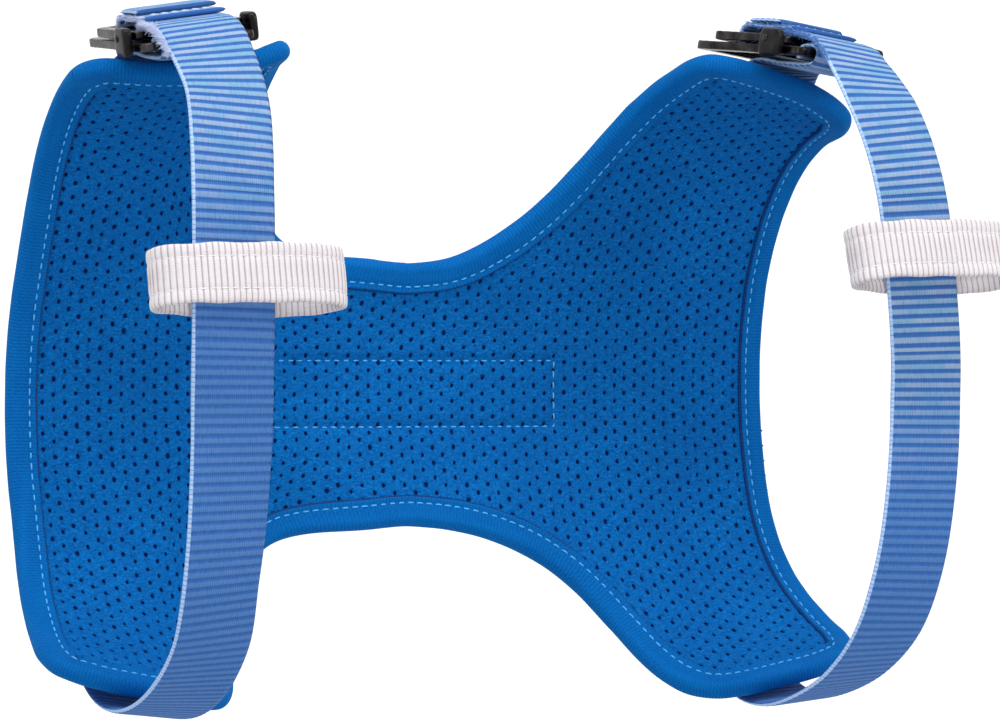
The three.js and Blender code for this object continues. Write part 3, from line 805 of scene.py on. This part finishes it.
def make_binding():
    """The knit tape folded round the rim, pinched along its stitch rows."""
    section, outer_count = binding_section()
    count = len(outline)
    along = np.arange(count) * OUTLINE_SPACING
    rib = np.where(np.arange(count) % 2 == 0, 1, -1)
    slow = 0.035 * np.sin(along / 4.1) * np.sin(along / 17.3)
    ripple = 1 + slow + 0.02 * np.sin(along / 1.9) + 0.014 * rib
    travel = lengths_along(section[:outer_count])
    points, cloth = [], []
    for (inset, height), across in zip(section, [*travel, *travel[::-1]]):
        flat = outline + outline_in * inset
        points.append(panel_point(flat[:, 0], flat[:, 1], height * ripple))
        cloth.append(stack(along, np.full(count, across), np.zeros(count)))
    points = np.stack(points, 1).reshape(-1, 3)
    cloth = np.stack(cloth, 1).reshape(-1, 3)
    faces = grid_faces(count, len(section), wrap_rows=True, wrap_columns=True)
    piece = outward(make_object("binding_tape", points, faces, BINDING, cloth))
    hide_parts("edge_binding")
    attach(piece)


def make_seam(name, side, cloth_height):
    """The binding's stitch row and the cord-like hem of its free edge, on one side of the panel; the hem is
    painted dark navy as the shade line beside it.
    """
    flat = outline + outline_in * BINDING_SEAM
    path, normals = on_panel(np.vstack([flat, flat[:1]]), side * (binding_height(BINDING_SEAM) + 0.02))
    row = stitches(f"binding_stitches_{name}", path, normals * side, BLUE_THREAD)
    attach(row)
    # the hem cord is painted dark navy: the shade line between the binding and the cloth beside it
    inset = BINDING_WIDTH + 0.2
    flat = (outline + outline_in * inset)[::2]
    height = cloth_height(flat[:, 0], flat[:, 1], np.full(len(flat), inset)) + side * 0.3
    cord = panel_point(flat[:, 0], flat[:, 1], height)
    points, _, _ = tube(cord, np.full(len(cord), HEM_RADIUS))
    along = np.arange(len(cord)) * 2 * OUTLINE_SPACING
    cloth = np.repeat(stack(along, 0 * along, 0 * along), THREAD_SIDES, 0)
    faces = grid_faces(len(cord), THREAD_SIDES, wrap_rows=True, wrap_columns=True)
    hem = outward(make_object(f"hem_{name}", points, faces, HEM_SHADE_BLUE, cloth))
    attach(hem)


# ---- webbing ----
def stations(knots, count):
    """Evenly spaced middles, directions across and directions off the face, through knots."""
    points = np.array([point for point, _ in knots], float)
    sideways = np.array([across for _, across in knots], float)
    curve = Curve(points)
    t = curve.parameter(np.linspace(0, 1, count + 1))
    place = t * (len(knots) - 1)
    lower = np.minimum(place.astype(int), len(knots) - 2)
    share = (place - lower)[:, None]
    tangent = curve.tangent(t)
    across = sideways[lower] * (1 - share) + sideways[lower + 1] * share
    across = unit(across - tangent * (across * tangent).sum(-1, keepdims=True))
    return curve.at(t), across, unit(np.cross(tangent, across)), curve.length


RIB_RELIEF = 0.3
RIBBON_STEP = 0.36  # between rows of points along the webbing
RIBBON_COLUMNS = 18


def ribbed(along, place):
    """Height of woven ribs: rounded bars with narrow grooves, fading into the selvages."""
    bars = np.abs(np.sin(along * math.pi / RIB_PITCH)) ** 0.7
    chain = 0.75 + 0.25 * np.abs(np.sin(along * 2 * math.pi / RIB_PITCH))
    edge = smoothstep(np.abs(place), 0.455, 0.49)
    return bars * (1 - edge) + chain * edge


def ribbon(name, knots, width=WEBBING_WIDTH, painted_sheen_heights=PAINTED_SHEEN_HEIGHTS["right"]):
    """A closed ribbon of webbing along knots, ribbed on both faces."""
    length = Curve([point for point, _ in knots]).length
    count = int(length / RIBBON_STEP)
    middle, across, off, length = stations(knots, count)
    along = np.linspace(0, length, count + 1)
    place = np.sin(np.linspace(-1, 1, RIBBON_COLUMNS + 1) * 1.25) / math.sin(1.25) / 2
    body = (1 - np.abs(2 * place) ** 14) ** 0.5
    height = WEBBING_THICKNESS / 2 * body[None] - RIB_RELIEF / 2
    height = height + RIB_RELIEF * ribbed(along[:, None], place[None]) * body[None]
    wander = 0.12 * np.sin(along / 6.1 + 1) * np.sin(along / 23)
    offset = place[None] * width + wander[:, None]
    flat = middle[:, None] + across[:, None] * offset[..., None]
    top = flat + off[:, None] * height[..., None]
    low = flat - off[:, None] * height[..., None]
    inner = slice(RIBBON_COLUMNS - 1, 0, -1)
    points = np.concatenate([top, low[:, inner]], 1)
    rows, around = points.shape[:2]
    faces = grid_faces(rows, around, wrap_columns=True).tolist()
    faces.append(list(range(around)))
    faces.append(list(range((rows - 1) * around, rows * around))[::-1])
    here = np.broadcast_to(along[:, None], (rows, around))
    over = np.concatenate([offset, -offset[:, inner]], 1)
    # sheen: the share of painted sheen on the rib crests, growing with height as the top light catches the
    # ribs higher up
    sheen = 0.12 + 0.88 * smoothstep(middle[:, 2], *painted_sheen_heights)
    cloth = stack(here, over, np.broadcast_to(sheen[:, None], (rows, around)))
    return outward(make_object(name, points.reshape(-1, 3), faces, WEBBING, cloth.reshape(-1, 3)))


def buckle_matrix(name, side):
    pitch, roll, splay = BUCKLE_TURN
    turn = Euler((pitch, side * roll, side * splay), "XYZ").to_matrix().to_4x4()
    return Matrix.Translation((side * BUCKLE_PLACE[0], BUCKLE_PLACE[1], BUCKLE_HEIGHTS[name])) @ turn


def buckle_knots(matrix, route):
    across = matrix.to_3x3() @ Vector((1, 0, 0))
    return [(matrix @ Vector((0, -forward, off)), across) for forward, off in route]


def panel_knot(side, v, height):
    u = side * WEBBING_ACROSS
    across = panel_point(u + 1, v, height) - panel_point(u - 1, v, height)
    return panel_point(u, v, height), across


def crossbar_route():
    """Half a turn of the tail round the locking plate's crossbar."""
    forward, off = CROSSBAR
    angles = np.linspace(-math.pi / 2, -3 * math.pi / 2, 9)
    return [(forward + CROSSBAR_TURN * math.cos(a), off + CROSSBAR_TURN * math.sin(a)) for a in angles]


def strap_knots(name, side, matrix):
    """The whole shoulder webbing: tail on top of the buckle, round the crossbar, and down the chest."""
    twist, back = LOWER_LOOPS[name]
    tail = (TAIL_ROUTE + crossbar_route() + TAIL_TOP)[::-1]
    knots = buckle_knots(matrix, tail + FRONT_LOOP_START)
    for across, forward, up in FRONT_LOOP:
        lower = smoothstep(-up, 0, 60)
        roll = side * UNDER_ROLL * smoothstep(-up, 50, 90)
        point = (side * across, back * lower - forward, up)
        knots.append((point, (1, side * (FRONT_YAW - twist * lower), roll)))
    lap = [(-75, 1.5), (-66, 0.4), (-58, 0), (LAP_END, 0)]
    return knots + [panel_knot(side, v, ON_WEBBING + lift) for v, lift in lap]


def back_knots(side, matrix):
    seam = [panel_knot(side, v, ON_SHELL) for v in (SEAM_BOTTOM, -40, -15, 10, 35, 60, 78)]
    return seam + [panel_knot(side, SEAM_TOP, ON_BINDING)] + buckle_knots(matrix, TAB_LOOP)


def zigzag(name, side, v, height):
    """A bar tack: close zigzag stitches across the webbing."""
    turns = 40
    place = np.linspace(-0.5, 0.5, turns * 2 + 1)
    swing = np.where(np.arange(len(place)) % 2 == 0, -1, 1) * 1.4
    flat = stack(side * WEBBING_ACROSS + place * 20, v + swing)
    fine = np.linspace(0, 1, turns * 8 + 1)
    flat = between(flat, np.linspace(0, 1, len(flat)), fine)
    path, _ = on_panel(flat, height + 0.12 * np.abs(np.sin(fine * turns * 2 * math.pi)))
    points, faces, ends = tube(path, np.full(len(path), 0.24))
    around = np.tile(np.arange(THREAD_SIDES) * 0.2, len(path))
    cloth = stack(np.repeat(fine * 140, THREAD_SIDES), around, 0 * around)
    return make_object(name, points, faces + ends, PALE_THREAD, cloth)


TAIL_FOLD = [(-21.5, 5.6), (-17, 5.75), (-12, 5.8), (-7.5, 5.7)]


def make_tail_fold(name, matrix, plate):
    """The tail's end folded back over itself, with the row of stitches that holds it."""
    fold = ribbon(f"tail_fold_{name}", buckle_knots(matrix, TAIL_FOLD), width=WEBBING_WIDTH - 0.6)
    attach(fold, plate)
    off = matrix.to_3x3() @ Vector((0, 0, 1))
    across = np.linspace(-10.5, 10.5, 60)
    for row, forward in (("first", -3.4), ("second", -5.2)):
        path = np.array([matrix @ Vector((x, -forward, 4.85)) for x in across])
        sewn = stitches(f"tail_stitches_{row}_{name}", path, np.tile(off, (len(path), 1)), PALE_THREAD)
        attach(sewn, plate)


FUZZ_ZONES = {  # worn stretches of the edge: start, end, count of fibres, and their least and most length
    "left": [(0, 58, 1300, 0.3, 0.8), (50, 77, 2200, 0.3, 1.3)],
    "right": [(0, 58, 1000, 0.3, 0.8), (50, 76, 900, 0.3, 1.1)],
}
FIBRE_RADII = (0.11, 0.09, 0.04)
FIBRE_SIDES = 3


def make_fuzz(name, knots):
    """Short fibres standing out of the webbing's worn inner edge where it is wrapped round the buckle."""
    rng = np.random.default_rng(7)
    steps = 900
    middle, across, off, length = stations(knots, steps)
    corners = len(FIBRE_RADII) * FIBRE_SIDES
    share = np.linspace(0, 1, len(FIBRE_RADII))[:, None]
    points, faces, cloth = [], [], []
    for start, end, count, least, most in FUZZ_ZONES[name]:
        row = (rng.uniform(start, end, count) / length * steps).astype(int)
        level = rng.uniform(-0.5, 0.5, count)[:, None]
        root = middle[row] - across[row] * (WEBBING_WIDTH / 2 - 0.5) + off[row] * level * WEBBING_THICKNESS
        way = unit(-across[row] + rng.normal(0, 0.5, (count, 3)))
        curl = rng.normal(0, 0.6, (count, 3))
        reach = rng.uniform(least, most, count)[:, None]
        for k in range(count):
            path = root[k] + (way[k] * share + curl[k] * share**2) * reach[k]
            fibre, quads, ends = tube(path, FIBRE_RADII, FIBRE_SIDES)
            faces += [[corners * len(points) + corner for corner in face] for face in quads + ends]
            points.append(fibre)
            cloth.append(np.tile([rng.uniform(0.06, 0.25), 0, 0], (corners, 1)))
    return make_object(f"selvage_fuzz_{name}", np.vstack(points), faces, FUZZ[name], np.vstack(cloth))


def rounded_block(name, matrix, centre, half_sizes, power, material):
    """A closed block with rounded edges: power 2 is a dome, and more is squarer."""
    rings, sides = 24, 32
    latitude = np.linspace(-math.pi / 2, math.pi / 2, rings + 1)[1:-1]
    longitude = np.arange(sides) / sides * 2 * math.pi
    x = squarer(np.cos(latitude), power)[:, None] * squarer(np.cos(longitude), power)[None]
    y = squarer(np.cos(latitude), power)[:, None] * squarer(np.sin(longitude), power)[None]
    z = np.broadcast_to(squarer(np.sin(latitude), power)[:, None], x.shape)
    body = stack(x, y, z).reshape(-1, 3)
    points = np.vstack([body, [[0, 0, -1], [0, 0, 1]]]) * half_sizes + centre
    faces = grid_faces(rings - 1, sides, wrap_columns=True).tolist()
    low, high, last = len(body), len(body) + 1, (rings - 2) * sides
    for k in range(sides):
        faces.append([low, (k + 1) % sides, k])
        faces.append([high, last + k, last + (k + 1) % sides])
    placed = [matrix @ Vector(point) for point in points]
    return outward(make_object(name, placed, faces, material))


PIVOT_ACROSS = 18.9  # from the buckle's middle to each block
PIVOT_BLOCK = (1.5, 4.6, 4.2)  # half sizes
PIVOT_PIN = (0.5, 1.1, 1.1)


def make_pivots(name, matrix):
    """The solid block at each side of a buckle's front, with its pivot pin's head."""
    for end, sign in (("inner", 1), ("outer", -1)):
        middle = (sign * PIVOT_ACROSS, 0.8, -1.6)
        block = rounded_block(f"pivot_block_{end}_{name}", matrix, middle, PIVOT_BLOCK, 5, BLACK)
        head = (sign * (PIVOT_ACROSS + PIVOT_BLOCK[0]), 2.2, -0.4)
        pin = rounded_block(f"pivot_pin_{end}_{name}", matrix, head, PIVOT_PIN, 2.2, STEEL)
        for piece in (block, pin):
            attach(piece)


def make_straps(name, side):
    matrix = buckle_matrix(name, side)
    plate = f"locking_plate_{name}"
    knots = strap_knots(name, side, matrix)
    strap = ribbon(f"shoulder_webbing_{name}", knots, painted_sheen_heights=PAINTED_SHEEN_HEIGHTS[name])
    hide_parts(f"shoulder_strap_{name}", f"strap_tail_{name}")
    for piece in (strap, make_fuzz(name, knots)):
        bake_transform(piece)
    make_tail_fold(name, matrix, plate)
    make_pivots(name, matrix)
    back = ribbon(f"back_tape_{name}", back_knots(side, matrix))
    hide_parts(f"back_webbing_{name}")
    attach(back)
    for place, v, height in (("lower", -54, ON_WEBBING), ("upper", 66, ON_SHELL)):
        tack = zigzag(f"{place}_tack_{name}", side, v, height + WEBBING_THICKNESS / 2 + 0.2)
        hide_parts(f"{place}_bar_tack_{name}")
        attach(tack)


# ---- the back strip ----
def make_strip():
    half = STRIP_LENGTH / 2
    y = -WEBBING_THICKNESS / 2
    knots = [((x, y, 0), (0, 0, 1)) for x in np.linspace(-half, half, 6)]
    strip = ribbon("back_strip_webbing", knots)
    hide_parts("back_strip")
    attach(strip)
    length, height = STRIP_SEAM
    corners = [(-length, -height), (length, -height), (length, height), (-length, height)]
    rows = [np.linspace(a, b, 80) for a, b in zip(corners, corners[1:] + corners[:1])]
    loop = np.vstack(rows)
    path, normals = on_panel(loop, lining_height(loop[:, 0], loop[:, 1]) - 0.1)
    inner = stitches("strip_stitches_inner", path, -normals, BLUE_THREAD)
    outside = stack(loop[:, 0], np.full(len(loop), 0.05), loop[:, 1])
    outer = stitches("strip_stitches_outer", outside, np.tile([0.0, 1.0, 0.0], (len(loop), 1)), BLUE_THREAD)
    for row in (inner, outer):
        attach(row)


# ---- chest rings ----
def make_ring(name, side):
    """A sewn loop of ribbed white tape."""
    low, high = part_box(f"chest_ring_{name}")
    centre = np.array((low + high) / 2 / MM)
    turn = np.array(Euler((RING_TILTS[name], 0, side * FRONT_YAW), "XYZ").to_matrix()).T
    angles = np.linspace(0, 2 * math.pi, 721)[:-1] - math.pi / 2
    half = ((RING_WIDTH - RING_TAPE_THICKNESS) / 2, (RING_DEPTH - RING_TAPE_THICKNESS) / 2)
    loop = stack(half[0] * squarer(np.cos(angles), 2.5), half[1] * squarer(np.sin(angles), 2.5))
    closed = np.vstack([loop, loop[:1]])
    lengths = lengths_along(closed)
    ribs = round(lengths[-1] / TAPE_RIB_PITCH)
    count = ribs * 7
    along = np.arange(count) / count * lengths[-1]
    path = between(closed, lengths, along)
    way = unit(np.roll(path, -1, axis=0) - np.roll(path, 1, axis=0))
    out = stack(way[:, 1], -way[:, 0])
    columns = 26
    place = np.sin(np.linspace(-1, 1, columns + 1) * 1.2) / math.sin(1.2) / 2
    body = (1 - np.abs(2 * place) ** 14) ** 0.5
    pinch = groove((np.abs(place) - 0.27) * RING_TAPE_WIDTH, 0.55)
    phase = along[:, None] * math.pi * ribs / lengths[-1]
    phase = phase + 0.5 * np.sin(along / 9.0)[:, None] * np.cos(place * 9)[None]
    ridges = np.abs(np.sin(phase)) ** 0.8
    height = RING_TAPE_THICKNESS / 2 * body[None] + 0.3 * (ridges - 0.5) * body[None] - 0.3 * pinch[None]
    edge = 0.25 * np.sin(along / 2.6) * np.sin(along / 8.7 + 1)
    rim = np.sign(place) * np.abs(2 * place) ** 4
    rise = place[None] * RING_TAPE_WIDTH + edge[:, None] * rim[None]
    bulge = 0.35 * np.sin(along / 7.3)[:, None] * (2 * place)[None] ** 2

    def layer(sign):
        shift = sign * height + bulge
        flat = path[:, None] + out[:, None] * shift[..., None]
        return np.concatenate([flat, rise[..., None]], -1)

    inner = slice(columns - 1, 0, -1)
    points = np.concatenate([layer(1), layer(-1)[:, inner]], 1)
    rows, around = points.shape[:2]
    faces = grid_faces(rows, around, wrap_rows=True, wrap_columns=True)
    here = np.broadcast_to((along * ribs * TAPE_RIB_PITCH / lengths[-1])[:, None], (rows, around))
    over = np.concatenate([rise, rise[:, inner]], 1)
    cloth = stack(here, over, np.zeros_like(here))
    turned = points.reshape(-1, 3) @ turn + centre
    ring = outward(make_object(f"ring_tape_{name}", turned, faces, TAPE, cloth.reshape(-1, 3)))
    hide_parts(f"chest_ring_{name}")
    attach(ring, f"chest_ring_{name}")
    for place_name, level in (("upper", 0.27), ("lower", -0.27)):
        spot = RING_TAPE_THICKNESS / 2 - 0.2
        flat = np.concatenate([path + out * spot, np.full((count, 1), level * RING_TAPE_WIDTH)], -1)
        row = np.vstack([flat, flat[:1]]) @ turn + centre
        normals = np.concatenate([out, np.zeros((count, 1))], -1)
        normals = np.vstack([normals, normals[:1]]) @ turn
        sewn = stitches(f"ring_stitches_{place_name}_{name}", row, normals, WHITE_THREAD, radius=0.2)
        attach(sewn, f"chest_ring_{name}")


# ---- buckles ----
def make_plate(node, body):
    """A steel plate with the CAD plate's shape and rounded edges."""
    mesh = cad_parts[node].data.copy()
    bm = bmesh.new()
    bm.from_mesh(mesh)
    bmesh.ops.remove_doubles(bm, verts=bm.verts, dist=1e-6)
    bmesh.ops.dissolve_limit(bm, angle_limit=math.radians(2), verts=bm.verts, edges=bm.edges)
    bm.to_mesh(mesh)
    bm.free()
    mesh.materials.clear()
    mesh.materials.append(STEEL)
    mesh.shade_smooth()
    piece = add_object(f"{node}_steel", mesh)
    even = piece.modifiers.new("even", "REMESH")
    even.mode = "VOXEL"
    even.voxel_size = 0.25 * MM
    even.use_smooth_shade = True
    rounded = piece.modifiers.new("rounded", "SMOOTH")
    rounded.factor = 0.5
    rounded.iterations = 24
    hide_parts(node)
    attach(piece, body)


# ---- floor, light and camera ----
def make_backdrop():
    """A pale floor that curves up into a round wall. The camera sees it, and it lights nothing."""
    floor, radius, bend, top, turns = -0.16, 6.0, 1.6, 6.0, 96
    angles = np.linspace(0, math.pi / 2, 13)
    out = np.concatenate([[0.5], radius - bend + bend * np.sin(angles), [radius]])
    up = np.concatenate([[floor], floor + bend - bend * np.cos(angles), [top]])
    around = np.arange(turns) / turns * 2 * math.pi
    flat = out[None] * np.cos(around)[:, None]
    deep = out[None] * np.sin(around)[:, None]
    points = stack(flat, deep, np.broadcast_to(up, flat.shape)).reshape(-1, 3) / MM
    faces = grid_faces(turns, len(out), wrap_rows=True).tolist()
    faces.append(list(range(0, turns * len(out), len(out))))
    paint = Paint("studio_white", roughness=0.9, specular=0)
    paint.adjust({"Emission Color": (1, 1, 1, 1), "Emission Strength": 1.0})
    backdrop = make_object("backdrop", points, faces, paint.finish(linear(120, 120, 120)))
    for ray in ("diffuse", "glossy", "transmission", "shadow"):
        setattr(backdrop, f"visible_{ray}", False)
    backdrop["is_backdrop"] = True


VIEW_TURN = math.radians(28.5)
VIEW_TARGET = Vector((0.0048, -0.0605, 0.009))
VIEW_DISTANCE = 2.4
VIEW_LENS = 296.35


def make_camera():
    way = Vector((math.sin(VIEW_TURN), math.cos(VIEW_TURN), 0))
    camera = add_object("camera", bpy.data.cameras.new("camera"))
    camera.data.lens = VIEW_LENS
    camera.data.sensor_width = 36
    camera.data.clip_start = 0.1
    camera.data.clip_end = 30
    camera.location = VIEW_TARGET - way * VIEW_DISTANCE
    camera.rotation_euler = way.to_track_quat("-Z", "Y").to_euler()
    bpy.context.scene.camera = camera


def make_light(name, place, power, size, colour=(1, 1, 1)):
    lamp = bpy.data.lights.new(name, "AREA")
    lamp.shape = "RECTANGLE"
    lamp.size, lamp.size_y = size
    lamp.energy = power
    lamp.color = colour
    light = add_object(name, lamp)
    light.location = place
    aim = Vector((0, -0.05, 0.0)) - Vector(place)
    light.rotation_euler = aim.to_track_quat("-Z", "Y").to_euler()


def light_scene():
    world = bpy.data.worlds.new("studio")
    world.use_nodes = True
    background = world.node_tree.nodes["Background"]
    background.inputs["Color"].default_value = (1, 1, 1, 1)
    background.inputs["Strength"].default_value = 0.86
    bpy.context.scene.world = world
    bpy.context.scene.view_settings.view_transform = "Standard"
    make_light("top", (-0.3, -0.6, 1.5), 17, (1.4, 0.4))
    make_light("key", (0.9, -1.7, 0.7), 9, (0.8, 0.8))
    make_light("side", (-1.6, -1.0, 0.4), 5, (0.4, 1.2))


# ---- assembly ----
make_camera()
light_scene()
make_backdrop()
make_foam()
make_shell()
make_lining()
make_binding()
make_seam("inner", -1, lining_height)
make_seam("outer", 1, shell_height)
make_strip()
for side_name, side_sign in SIDES.items():
    make_straps(side_name, side_sign)
    make_ring(side_name, side_sign)
    make_plate(f"buckle_frame_{side_name}", HARNESS)
    make_plate(f"locking_plate_{side_name}", f"locking_plate_{side_name}")

boxes = {"cad": cad_box, "visual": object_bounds()}
{key: [list(corner) for corner in box] for key, box in boxes.items()}
